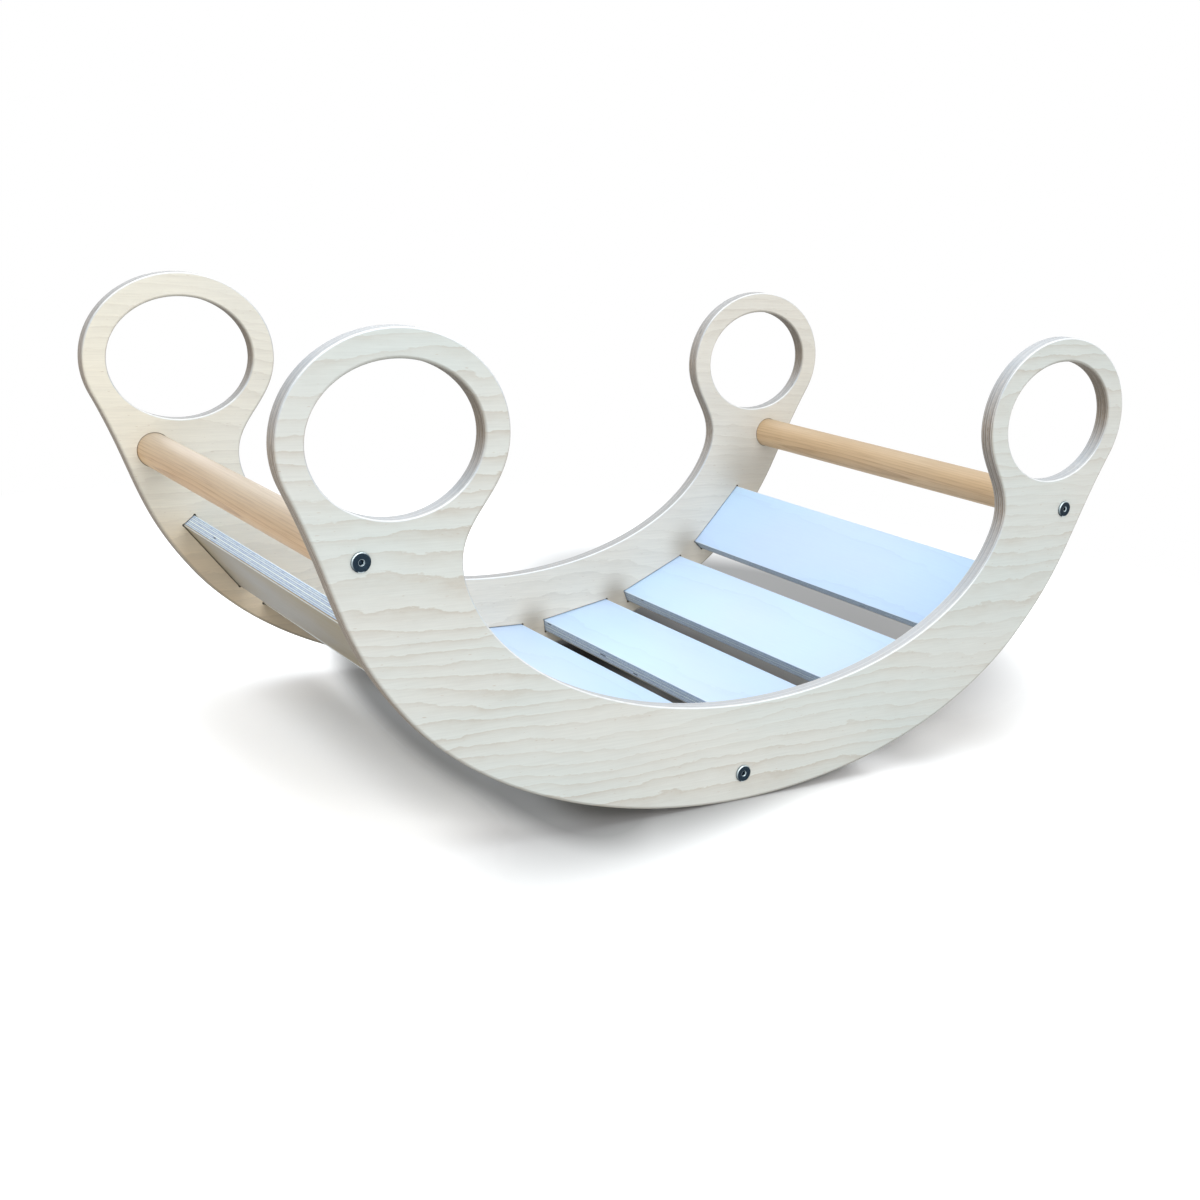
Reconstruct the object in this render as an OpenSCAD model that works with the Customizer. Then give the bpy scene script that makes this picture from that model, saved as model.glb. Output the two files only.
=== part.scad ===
// Rocker arch of birch plywood: two crescent sides with ring handles, slats and grab bars between them
// X runs along the arch, Y from the front side to the rear side, Z up from the floor under its middle

/* [Overall] */
// Length over both ring handles
overall_length = 922; // [780:1:1060]
// Height of the ring handles above the floor
overall_height = 428; // [380:1:500]
// Width over the outer faces of the two sides
overall_width = 490; // [300:1:700]

/* [Side panels] */
// Thickness of the plywood that the sides are cut from
panel_t = 15; // [12:0.5:24]
// Depth of a side at the middle of the arch
panel_depth = 95.5; // [80:0.5:120]
// How far the ring handles reach out past the ellipse that the runner follows
ring_reach = 63; // [45:1:80]
// Height of the ring handles' tops above the middle of that ellipse
ring_rise = 184.5; // [165:0.5:205]
// Distance between the runner's ellipse and the seat opening's ellipse at their ends
end_width = 90.5; // [75:0.5:110]
// How much higher the middle of the seat opening's ellipse lies than the runner's
seat_raise = 22.5; // [10:0.5:35]
// Angle along the runner's ellipse at which the rise to the ring handle begins
runner_angle = 61.5; // [56:0.5:68]
// Angle along the seat opening's ellipse at which the side sweeps into the ring handle
seat_angle = 79; // [74:0.5:84]

/* [Ring handles] */
// Width of the hand hole
hole_w = 146; // [120:1:170]
// Height of the hand hole
hole_h = 119; // [95:1:140]
// Width of the wood round the hand hole
rim_w = 23; // [16:0.5:32]
// Angle round the ring where its outer edge begins, counted from straight down
ring_start_angle = 64.5; // [55:0.5:75]
// Angle round the ring where its inner edge ends, counted from straight down
ring_end_angle = 266; // [255:0.5:275]

/* [Slats] */
// Width of a slat
slat_w = 90.5; // [70:0.5:105]
// Thickness of a slat
slat_t = 15; // [12:0.5:18]
// Distance from the runner's edge to the top of the middle slat and the two next to it on each side
slat_inset = 34.5; // [30:0.5:40]
// The same distance at the outermost slats
outer_slat_inset = 38; // [34:0.5:44]
// Depth of the pockets and recesses in the sides that hold the slats and the bars
seat_depth = 5; // [3:0.5:8]
// Clearance round a slat or bar in its pocket
fit_gap = 0.3; // [0.1:0.05:0.6]
// Radius of the round relief that the router leaves at a pocket's corners
relief_r = 1.6; // [1:0.1:3]

/* [Grab bars] */
// Diameter of a grab bar
bar_d = 34; // [26:1:40]
// Distance from the lower edge of a hand hole down to the axis of the bar
bar_below_hole = 30; // [26:0.5:40]
// Distance from the middle of a hand hole out to the axis of the bar
bar_out = 27.5; // [10:0.5:35]

/* [Fasteners] */
// Thread diameter of the connector bolts
bolt_d = 6; // [5:0.5:7]
// Diameter of a bolt's flat head
bolt_head_d = 16; // [13:0.5:20]
// Thickness of a bolt's flat head
bolt_head_t = 2.2; // [1.5:0.1:3]
// Width across the flats of the hexagon socket
socket_w = 4; // [3:0.5:4.5]
// Depth of the hexagon socket
socket_depth = 3; // [2:0.1:4]
// Length of the bolts that hold the bars, under the head
bar_bolt_l = 30; // [26:1:36]
// Length of the bolts that hold the middle slat, under the head
slat_bolt_l = 38; // [36:1:44]
// Diameter of the clearance holes for the bolts
bolt_hole_d = 7; // [7:0.1:8]
// Outer diameter of the threaded inserts in the bars
insert_d = 10; // [9:0.5:12]
// Length of the threaded inserts
insert_l = 13; // [10:0.5:16]
// Diameter of the barrel nuts in the middle slat
nut_d = 10; // [9:0.5:12]
// Length of the barrel nuts
nut_l = 10; // [9:0.5:11]
// Distance from the end of the middle slat to the axis of its barrel nut
nut_in = 20; // [16:0.5:22]
// Radial clearance between a thread or insert and what it runs in
thread_gap = 0.1; // [0.05:0.05:0.2]

/* [Hidden] */

ply_color = "#e6dcc6";
slat_color = "#dfe6ee";
bar_color = "#d9b48a";
zinc_color = "#5c6a78";
brass_color = "#b8a468";

$fn = 72;
// How far a cut runs past the face that it opens
overrun = 1;
full_turn = 360;
half_turn = 180;
// Steps along each stretch of the outline, for half of a side
runner_steps = 22;
rise_steps = 8;
ring_steps = 30;
sweep_steps = 10;
seat_steps = 18;
hole_steps = 72;
// Length of a blend's handles, as a share of the distance that it bridges
blend_share = 0.433;
// Places of the three slats on each side, as shares of the runner's angle
slat_place_shares = [0.302, 0.62, 1.008];
// Chamfer on a bolt head's rim, as a share of the head's thickness
head_bevel_share = 0.3;
// Flats of a bolt's hexagon socket
socket_sides = 6;

ring_x = overall_length / 2 - rim_w - hole_w / 2;
ring_z = overall_height - rim_w - hole_h / 2;
ring_half_x = hole_w / 2 + rim_w;
ring_half_z = hole_h / 2 + rim_w;

runner_half_x = overall_length / 2 - ring_reach;
runner_half_z = overall_height - ring_rise;
seat_half_x = runner_half_x - end_width;
seat_half_z = runner_half_z + seat_raise - panel_depth;
seat_z = panel_depth + seat_half_z;

// A half step off the middle, so that the lowest facet of the runner lies level on the floor
first_angle = runner_angle / (2 * runner_steps + 1);
runner_z = runner_half_z * cos(first_angle);

bar_x = ring_x + bar_out;
bar_z = ring_z - hole_h / 2 - bar_below_hole;

inner_y = overall_width / 2 - panel_t;
seat_y = inner_y + seat_depth;
held_l = 2 * seat_y;
nut_y = seat_y - nut_in;
slat_bolt_z = slat_inset - slat_t / 2;
insert_bore_depth = bar_bolt_l - panel_t + seat_depth + overrun;
slat_bore_depth = slat_bolt_l - panel_t + seat_depth + overrun;
nut_bore_depth = (slat_t + nut_l) / 2 + thread_gap;

// Point of an ellipse at an angle counted from straight down towards +X
function ellipse_point(x, z, half_x, half_z, angle) = [x + half_x * sin(angle), z - half_z * cos(angle)];

// Direction of travel there, of length 1
function ellipse_heading(half_x, half_z, angle) =
    let (step = [half_x * cos(angle), half_z * sin(angle)]) step / norm(step);

// Cubic curve that leaves a along heading u and reaches b along heading v, without its two ends
function blend(a, u, b, v, steps) =
    let (
        reach = norm(b - a) * blend_share,
        p = a + u * reach,
        q = b - v * reach
    )
    [for (i = [1 : steps - 1])
        let (t = i / steps, s = 1 - t)
        a * pow(s, 3) + p * (3 * s * s * t) + q * (3 * s * t * t) + b * pow(t, 3)];

// Right half of a side's edge, from the floor out round the ring handle and back to the seat's middle
function half_outline() =
    let (
        runner_end = ellipse_point(0, runner_z, runner_half_x, runner_half_z, runner_angle),
        ring_start = ellipse_point(ring_x, ring_z, ring_half_x, ring_half_z, ring_start_angle),
        ring_end = ellipse_point(ring_x, ring_z, ring_half_x, ring_half_z, ring_end_angle),
        seat_end = ellipse_point(0, seat_z, seat_half_x, seat_half_z, seat_angle)
    )
    concat(
        [for (i = [0 : runner_steps])
            ellipse_point(0, runner_z, runner_half_x, runner_half_z, first_angle * (2 * i + 1))],
        blend(
            runner_end, ellipse_heading(runner_half_x, runner_half_z, runner_angle),
            ring_start, ellipse_heading(ring_half_x, ring_half_z, ring_start_angle),
            rise_steps
        ),
        [for (i = [0 : ring_steps])
            ellipse_point(
                ring_x, ring_z, ring_half_x, ring_half_z,
                ring_start_angle + (ring_end_angle - ring_start_angle) * i / ring_steps
            )],
        blend(
            ring_end, ellipse_heading(ring_half_x, ring_half_z, ring_end_angle),
            seat_end, -ellipse_heading(seat_half_x, seat_half_z, seat_angle),
            sweep_steps
        ),
        [for (i = [0 : seat_steps - 1])
            ellipse_point(0, seat_z, seat_half_x, seat_half_z, seat_angle * (1 - i / seat_steps))]
    );

module side_outline() {
    right = half_outline();
    last = len(right) - 1;
    seat_middle = [0, panel_depth];
    left = [for (i = [last : -1 : 0]) [-right[i][0], right[i][1]]];
    difference() {
        polygon(concat(right, [seat_middle], left));
        for (side = [-1, 1])
            polygon([for (i = [0 : hole_steps - 1])
                ellipse_point(
                    side * ring_x, ring_z, hole_w / 2, hole_h / 2,
                    full_turn * i / hole_steps
                )]);
    }
}

// Where slat number i lies: the middle of its top face, and its slope
function slat_angle(i) = i == 0 ? 0 : runner_angle * slat_place_shares[i - 1];
function slat_heading(i) = ellipse_heading(runner_half_x, runner_half_z, slat_angle(i));
function slat_slope(i) = atan2(slat_heading(i)[1], slat_heading(i)[0]);
function slat_depth_in(i) = i == len(slat_place_shares) ? outer_slat_inset : slat_inset;
function slat_place(i) =
    ellipse_point(0, runner_half_z, runner_half_x, runner_half_z, slat_angle(i))
    + slat_depth_in(i) * [-slat_heading(i)[1], slat_heading(i)[0]];

// Lays its children on slat number i, on the right for side 1 and on the left for side -1
module at_slat(i, side) {
    place = slat_place(i);
    translate([side * place[0], 0, place[1]])
        rotate([0, -side * slat_slope(i), 0])
            children();
}

// Block that a slat fills, with its top face on the XY plane and a given clearance round it
module slat_block(gap) {
    translate([-slat_w / 2 - gap, -held_l / 2, -slat_t - gap])
        cube([slat_w + 2 * gap, held_l, slat_t + 2 * gap]);
}

// The space that the router clears for a slat's ends, with a relief at each corner
module slat_pocket() {
    slat_block(fit_gap);
    for (x = [-slat_w / 2, slat_w / 2])
        for (z = [-slat_t, 0])
            translate([x, 0, z])
                rotate([90, 0, 0])
                    cylinder(h = held_l, r = relief_r, center = true);
}

module slat(i, side) {
    color(slat_color)
        at_slat(i, side)
            slat_block(0);
}

// Cylinder along Y, from a start towards the front or the rear
module rod_y(d, start, length) {
    translate([0, start, 0])
        rotate([-90, 0, 0])
            cylinder(h = length, d = d);
}

// Rear side: outer face at +Y, pockets open towards the middle
module rear_side() {
    color(ply_color)
        difference() {
            translate([0, inner_y + panel_t, 0])
                rotate([90, 0, 0])
                    linear_extrude(panel_t)
                        side_outline();
            at_slat(0, 1)
                slat_pocket();
            for (i = [1 : len(slat_place_shares)])
                for (side = [-1, 1])
                    at_slat(i, side)
                        slat_pocket();
            for (side = [-1, 1])
                translate([side * bar_x, 0, bar_z]) {
                    rod_y(bar_d + 2 * fit_gap, inner_y - overrun, seat_depth + overrun);
                    rod_y(bolt_hole_d, inner_y, panel_t + overrun);
                }
            translate([0, 0, slat_bolt_z])
                rod_y(bolt_hole_d, inner_y, panel_t + overrun);
        }
}

module rear_side_panel() {
    rear_side();
}

module front_side_panel() {
    rotate([0, 0, half_turn])
        rear_side();
}

module centre_slat() {
    color(slat_color)
        difference() {
            at_slat(0, 1)
                slat_block(0);
            for (turn = [0, half_turn])
                rotate([0, 0, turn]) {
                    translate([0, 0, slat_bolt_z])
                        rod_y(bolt_hole_d, seat_y - slat_bore_depth, slat_bore_depth + overrun);
                    translate([0, nut_y, slat_inset - slat_t - overrun])
                        cylinder(h = overrun + nut_bore_depth, d = nut_d + 2 * thread_gap);
                }
        }
}

module right_inner_slat() { slat(1, 1); }
module right_middle_slat() { slat(2, 1); }
module right_outer_slat() { slat(3, 1); }
module left_inner_slat() { slat(1, -1); }
module left_middle_slat() { slat(2, -1); }
module left_outer_slat() { slat(3, -1); }

module grab_bar(side) {
    color(bar_color)
        translate([side * bar_x, 0, bar_z])
            difference() {
                rod_y(bar_d, -seat_y, held_l);
                for (turn = [0, half_turn])
                    rotate([0, 0, turn])
                        rod_y(
                            insert_d + 2 * thread_gap,
                            seat_y - insert_bore_depth,
                            insert_bore_depth + overrun
                        );
            }
}

module left_grab_bar() { grab_bar(-1); }
module right_grab_bar() { grab_bar(1); }

// Connector bolt with its head's back on the rear side's outer face, pointing to the middle
module bolt(length) {
    bevel = bolt_head_t * head_bevel_share;
    color(zinc_color)
        translate([0, overall_width / 2, 0])
            rotate([-90, 0, 0])
                difference() {
                    union() {
                        translate([0, 0, -length])
                            cylinder(h = length + bevel, d = bolt_d);
                        cylinder(h = bolt_head_t - bevel, d = bolt_head_d);
                        translate([0, 0, bolt_head_t - bevel])
                            cylinder(h = bevel, d1 = bolt_head_d, d2 = bolt_head_d - 2 * bevel);
                    }
                    translate([0, 0, bolt_head_t - socket_depth])
                        cylinder(
                            h = socket_depth + overrun,
                            d = socket_w / cos(half_turn / socket_sides),
                            $fn = socket_sides
                        );
                }
}

// Bolt into a grab bar on side -1 or 1, at the rear for a turn of 0 and at the front for a half turn
module bar_bolt(side, turn) {
    translate([side * bar_x, 0, bar_z])
        rotate([0, 0, turn])
            bolt(bar_bolt_l);
}

module centre_bolt(turn) {
    translate([0, 0, slat_bolt_z])
        rotate([0, 0, turn])
            bolt(slat_bolt_l);
}

module front_left_bolt() { bar_bolt(-1, half_turn); }
module front_right_bolt() { bar_bolt(1, half_turn); }
module front_centre_bolt() { centre_bolt(half_turn); }
module rear_left_bolt() { bar_bolt(-1, 0); }
module rear_right_bolt() { bar_bolt(1, 0); }
module rear_centre_bolt() { centre_bolt(0); }

// Threaded insert, flush with the end of a bar
module bar_insert(side, turn) {
    color(brass_color)
        translate([side * bar_x, 0, bar_z])
            rotate([0, 0, turn])
                difference() {
                    rod_y(insert_d, seat_y - insert_l, insert_l);
                    rod_y(bolt_d + 2 * thread_gap, seat_y - insert_l - overrun, insert_l + 2 * overrun);
                }
}

module front_left_insert() { bar_insert(-1, half_turn); }
module front_right_insert() { bar_insert(1, half_turn); }
module rear_left_insert() { bar_insert(-1, 0); }
module rear_right_insert() { bar_insert(1, 0); }

// Barrel nut upright in the middle slat, crossed by the bolt
module barrel_nut(turn) {
    color(zinc_color)
        rotate([0, 0, turn])
            translate([0, nut_y, slat_bolt_z])
                difference() {
                    cylinder(h = nut_l, d = nut_d, center = true);
                    rod_y(bolt_d + 2 * thread_gap, -nut_d / 2 - overrun, nut_d + 2 * overrun);
                }
}

module front_barrel_nut() { barrel_nut(half_turn); }
module rear_barrel_nut() { barrel_nut(0); }

front_side_panel();
rear_side_panel();
centre_slat();
right_inner_slat();
right_middle_slat();
right_outer_slat();
left_inner_slat();
left_middle_slat();
left_outer_slat();
left_grab_bar();
right_grab_bar();
front_left_bolt();
front_right_bolt();
front_centre_bolt();
rear_left_bolt();
rear_right_bolt();
rear_centre_bolt();
front_left_insert();
front_right_insert();
rear_left_insert();
rear_right_insert();
front_barrel_nut();
rear_barrel_nut();
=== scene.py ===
import math

import bpy
import numpy as np
from mathutils import Matrix, Vector
from mathutils.geometry import tessellate_polygon


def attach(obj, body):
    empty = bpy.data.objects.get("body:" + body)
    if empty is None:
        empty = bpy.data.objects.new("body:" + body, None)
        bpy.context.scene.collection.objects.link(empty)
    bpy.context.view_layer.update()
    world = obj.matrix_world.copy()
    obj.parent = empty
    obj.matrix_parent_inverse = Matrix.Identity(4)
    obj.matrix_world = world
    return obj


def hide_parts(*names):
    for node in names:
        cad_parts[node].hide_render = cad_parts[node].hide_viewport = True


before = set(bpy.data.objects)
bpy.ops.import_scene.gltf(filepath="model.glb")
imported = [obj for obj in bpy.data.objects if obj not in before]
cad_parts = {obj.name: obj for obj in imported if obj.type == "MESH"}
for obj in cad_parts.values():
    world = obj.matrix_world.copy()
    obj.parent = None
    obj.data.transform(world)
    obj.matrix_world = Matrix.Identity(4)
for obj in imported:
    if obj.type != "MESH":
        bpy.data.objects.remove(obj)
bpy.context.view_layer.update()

print("frame loaded with", len(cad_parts), "nodes")


# Small helpers for meshes. A shape grows from rings of points that lie in planes across Y.
# Every ring travels with its wood on the left, seen with X to the right and Z up.

def newShape():
    # Empty shape; a point's marks say how much it is end grain, how much it takes wear and painted sheen, and
    # how much painted shade
    return {"points": [], "endGrain": [], "wornSheen": [], "paintedShade": [], "faces": [], "count": 0}


def addPoints(shape, points, endGrain=0.0, wornSheen=0.0, paintedShade=0.0):
    # New points with their marks; gives back their numbers
    numbers = np.arange(len(points)) + shape["count"]
    shape["points"].append(points)
    for key, value in (("endGrain", endGrain), ("wornSheen", wornSheen), ("paintedShade", paintedShade)):
        shape[key].append(np.broadcast_to(value, len(points)).astype(float))
    shape["count"] += len(points)
    return numbers


def addRing(shape, flat, y, *marks):
    # The flat points (x, z) set at depth y
    return addPoints(shape, np.column_stack([flat[:, 0], np.full(len(flat), y), flat[:, 1]]), *marks)


def addWall(shape, near, far):
    # Quads from each point of one ring to its neighbour and across to the next ring
    quads = np.column_stack([near, far, np.roll(far, -1), np.roll(near, -1)])
    shape["faces"] += quads.tolist()


def addWalls(shape, rings, capped=False):
    # Walls from each ring to the next; capped closes both ends with a face
    for near, far in zip(rings[:-1], rings[1:]):
        addWall(shape, near, far)
    if capped:
        shape["faces"] += [rings[0].tolist(), rings[-1][::-1].tolist()]


def addFill(shape, rings, facing, axes=(0, 2)):
    # Triangles over the area between an outer ring and any holes; facing is the side they look to
    numbers = np.concatenate(rings)
    points = np.concatenate(shape["points"])[:, list(axes)]
    loops = [np.column_stack([points[ring], np.zeros(len(ring))]).tolist() for ring in rings]
    triangles = numbers[np.array(tessellate_polygon(loops))]
    corner = points[triangles]
    u, v = corner[:, 1] - corner[:, 0], corner[:, 2] - corner[:, 0]
    turn = u[:, 0] * v[:, 1] - u[:, 1] * v[:, 0]
    wrong = turn * facing > 0
    triangles[wrong] = triangles[wrong][:, ::-1]
    shape["faces"] += triangles[np.abs(turn) > 0].tolist()


def woodMarks(shape, board):
    # The marks of every point, with its place in the board that the piece is cut from
    marks = {key: np.concatenate(shape[key]) for key in ("endGrain", "wornSheen", "paintedShade")}
    return {"board": board, **marks}


def placed(points, spot, slope):
    # Points tilted by slope about Y and then moved to spot (x, z)
    c, s = math.cos(slope), math.sin(slope)
    x, y, z = points.T
    return np.column_stack([c * x - s * z + spot[0], y, s * x + c * z + spot[1]])


def addObject(name, data):
    # Object of that mesh, light or camera, in the scene
    made = bpy.data.objects.new(name, data)
    bpy.context.scene.collection.objects.link(made)
    return made


def makePiece(name, shape, points, material, node, attributes=None, sharp=40):
    # Smooth mesh of the shape's faces on points, which rides on the part and stands for its solid
    mesh = bpy.data.meshes.new(name)
    mesh.from_pydata(points.tolist(), [], shape["faces"])
    mesh.update()
    mesh.polygons.foreach_set("use_smooth", np.ones(len(mesh.polygons), bool))
    mesh.set_sharp_from_angle(angle=math.radians(sharp))
    for key, values in (attributes or {}).items():
        kind, field = ("FLOAT_VECTOR", "vector") if values.ndim == 2 else ("FLOAT", "value")
        layer = mesh.attributes.new(key, kind, "POINT")
        layer.data.foreach_set(field, values.astype(np.float32).ravel())
    mesh.materials.append(material)
    piece = addObject(name, mesh)
    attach(piece, "root")
    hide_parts(node)
    return piece


# Small helpers for materials

def paint(red, green, blue):
    # A colour from 0 to 255 on screen, as the light that it stands for
    c = np.array([red, green, blue]) / 255
    linear = np.where(c <= 0.04045, c / 12.92, ((c + 0.055) / 1.055) ** 2.4)
    return (*linear.tolist(), 1.0)


def startMaterial(name):
    # Material with an empty node tree
    material = bpy.data.materials.new(name)
    material.use_nodes = True
    material.node_tree.nodes.clear()
    return material, material.node_tree


def addNode(tree, kind, inputs=None, **settings):
    # Each input is a socket to link from or a value to set
    made = tree.nodes.new("ShaderNode" + kind)
    for key, value in settings.items():
        setattr(made, key, value)
    for key, value in (inputs or {}).items():
        if isinstance(value, bpy.types.NodeSocket):
            tree.links.new(value, made.inputs[key])
        else:
            made.inputs[key].default_value = value
    return made


def maths(tree, operation, *values, clamp=False):
    # One step of arithmetic on sockets or values
    inputs = dict(enumerate(values))
    return addNode(tree, "Math", inputs, operation=operation, use_clamp=clamp).outputs[0]


def times(tree, first, second):
    # The product of two
    return maths(tree, "MULTIPLY", first, second)


def mixColours(tree, share, first, second, kind="MIX"):
    # A colour of three levels is painted first
    first, second = [paint(*c) if isinstance(c, tuple) else c for c in (first, second)]
    inputs = {0: share, 6: first, 7: second}
    return addNode(tree, "Mix", inputs, data_type="RGBA", blend_type=kind).outputs[2]


def noiseAt(tree, place, stretch, detail=2.0, rough=0.5, shift=(0, 0, 0)):
    # Noise on a place that is stretched along each axis; a higher number makes it finer there
    mapped = addNode(tree, "Mapping", {"Vector": place, "Scale": stretch, "Location": shift})
    inputs = {"Vector": mapped.outputs[0], "Scale": 1.0, "Detail": detail, "Roughness": rough}
    return addNode(tree, "TexNoise", inputs).outputs["Fac"]


def spread(tree, value, low, high, outLow=0.0, outHigh=1.0, kind="LINEAR"):
    # Carries low..high over to outLow..outHigh, held at both ends
    inputs = {"Value": value, "From Min": low, "From Max": high, "To Min": outLow, "To Max": outHigh}
    return addNode(tree, "MapRange", inputs, interpolation_type=kind).outputs[0]


def greyColour(tree, level):
    # The level in all three channels
    return addNode(tree, "CombineColor", {0: level, 1: level, 2: level}).outputs[0]


def ramp(tree, value, stops):
    # Grey levels at positions from 0 to 1, straight between them
    made = addNode(tree, "ValToRGB", {"Fac": value})
    marks = made.color_ramp.elements
    while len(marks) < len(stops):
        marks.new(0.5)
    for mark, (position, level) in zip(marks, stops):
        mark.position = position
        mark.color = (level, level, level, 1)
    return made.outputs[0]


def endMaterial(tree, colour, roughness, height, bump, distance, sockets=None):
    # Shader with the colour, roughness and a bump from a height
    relief = addNode(tree, "Bump", {"Height": height, "Strength": bump, "Distance": distance})
    inputs = {"Base Color": colour, "Roughness": roughness, "Normal": relief.outputs[0], **(sockets or {})}
    shader = addNode(tree, "BsdfPrincipled", inputs)
    addNode(tree, "OutputMaterial", {"Surface": shader.outputs[0]})


def nearCorners(tree, corners):
    # 1 at any of the corners (x, z, reach), falling softly to 0 at its reach
    place = addNode(tree, "TexCoord").outputs["Object"]
    flat = addNode(tree, "VectorMath", {0: place, 1: (1, 0, 1)}, operation="MULTIPLY").outputs[0]
    most = 0.0
    for x, z, reach in corners:
        ends = {0: flat, 1: (x, 0, z)}
        away = addNode(tree, "VectorMath", ends, operation="DISTANCE").outputs["Value"]
        near = spread(tree, away, 0.0, reach, 1.0, 0.0, "SMOOTHSTEP")
        most = maths(tree, "MAXIMUM", near, most)
    return most


# Plywood: the board attribute is (along the face grain, across it, down through the plies) in metres

grain = dict(
    # Noises: how fine along each axis of the board, then detail, roughness and shift.
    # A range gives the levels of its noise between which it takes hold.
    fade=((5, 16, 9), 2.0, 0.5, (11, 2, 5)), fadeRange=(0.35, 0.7), fadeLeast=0.25,  # thins the lines out
    tintRange=(0.34, 0.66), innerTint=0.3,
    fibre=((24, 620, 300), 4.0, 0.65), fibreRange=(0.25, 0.75),
    fleck=((130, 900, 60), 1.0, 0.5, (1, 4, 2)), fleckRange=(0.735, 0.79),
    streak=((160, 160, 900), 3.0, 0.65, (2, 9, 4)), streakRange=(0.3, 0.7),  # fibre on the cut edges
    hollow=((34, 7.3, 1), 1.0), hollowRange=(0.735, 0.75),  # gaps in the inner plies
    sheenRange=(0.3, 0.5), sheenLeast=0.7,  # the wear and painted sheen on edges stay patchy
    sheenToneRange=(0.6, 0.8),  # level of the wear-and-sheen mark at which the pale blue tone turns to the near white one
    lowMost=0.85, lowLeast=0.1,  # how strong the painted warm shade at the foot of the inner face is at either end
    skins=(0.5, 1.0),  # plies at each face that hold no glue line, and none of the cut edge
    glueReach=(0.03, 0.12), hollowReach=(0.12, 0.2),  # from a seam, in plies
    roughRange=(0.2, 0.8),
    endShare=0.85,  # how far the end grain shows on the outermost plies
    edgeRough=0.15, lineDepth=0.4, relief=0.0002,
    hair=1e-5,  # keeps the points of a face inside the outermost ply
)


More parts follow.
